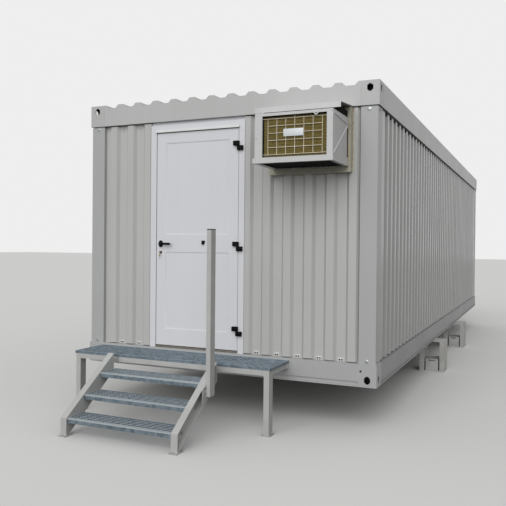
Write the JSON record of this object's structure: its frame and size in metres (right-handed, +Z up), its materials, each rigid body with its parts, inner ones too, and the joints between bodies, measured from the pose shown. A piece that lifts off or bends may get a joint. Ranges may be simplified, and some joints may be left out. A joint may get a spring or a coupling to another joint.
{
  "type": "portable site cabin",
  "caption": "Long ribbed steel site cabin on support stools, with a hinged entrance door, a landing with steps, a handrail post and a window air conditioner.",
  "frame": {"origin": "on the ground in the middle of the overall footprint, stair and stools included", "axes": "+X to the right and +Y to the rear as seen from the entrance end, +Z up"},
  "size_m": [3.28, 10.016, 3.022],
  "materials": {
    "frame_steel": "satin grey paint on steel",
    "cladding": "light grey coil coating, semi-matt",
    "roof_metal": "light grey coil coating, semi-matt",
    "door_paint": "white powder coat, satin",
    "frame_paint": "grey powder coat, satin",
    "black_plastic": "moulded black nylon",
    "lock_metal": "satin stainless steel",
    "ac_paint": "off-white appliance enamel",
    "ac_plastic": "off-white moulded plastic",
    "coil_fins": "weathered fins, dull olive brown",
    "guard_wire": "beige dip-coated wire",
    "galvanised": "dull hot-dip galvanised steel",
    "stair_steel": "weathered galvanised steel",
    "stool_steel": "weathered grey paint",
    "floor_board": "plain floor board, semi-matt",
    "ceiling_white": "white lining sheet, matt"
  },
  "bodies": {
    "cabin": {"lower_corner_blocks": "frame_steel", "upper_corner_blocks": "frame_steel", "base_rail_front": "frame_steel", "base_rail_rear": "frame_steel", "base_rail_left": "frame_steel", "base_rail_right": "frame_steel", "floor_joists": "frame_steel", "corner_post_front_left": "frame_steel", "corner_post_front_right": "frame_steel", "corner_post_rear_left": "frame_steel", "corner_post_rear_right": "frame_steel", "top_rail_front": "frame_steel", "top_rail_rear": "frame_steel", "top_rail_left": "frame_steel", "top_rail_right": "frame_steel", "front_wall_left": "cladding", "front_wall_right": "cladding", "side_wall_left": "cladding", "side_wall_right": "cladding", "rear_wall": "cladding", "roof_sheet": "roof_metal", "ceiling_panel": "ceiling_white", "floor_deck": "floor_board", "door_frame": "frame_paint", "door_head_strip": "frame_paint", "hinge_frame_blocks": "black_plastic", "ac_case": "ac_paint", "ac_wall_frame": "ac_paint", "ac_hood": "ac_paint", "ac_base_pan": "ac_paint", "ac_room_panel": "ac_plastic", "ac_coil": "coil_fins", "ac_wire_guard": "guard_wire", "landing_grating": "galvanised", "tread_1": "galvanised", "tread_2": "galvanised", "tread_3": "galvanised", "landing_frame": "stair_steel", "landing_legs": "stair_steel", "stringer_left": "stair_steel", "stringer_right": "stair_steel", "handrail_post": "stair_steel", "support_stools": "stool_steel"},
    "door": {"door_leaf": "door_paint", "hinge_leaf_blocks": "black_plastic", "lock_fittings": "lock_metal"},
    "lever": {"door_lever": "black_plastic"}
  },
  "joints": [
    {"name": "door_hinge", "type": "hinge", "parent": "cabin", "child": "door", "pos_m": [0.185, -3.828, 1.6605], "axis": [0, 0, 1], "range_deg": [0, 90]},
    {"name": "lever_turn", "type": "hinge", "parent": "door", "child": "lever", "pos_m": [-0.656, -3.787, 1.615], "axis": [0, 1, 0], "range_deg": [0, 40], "stiffness_Nm_per_rad": 1.2, "springref_deg": -34.38}
  ]
}
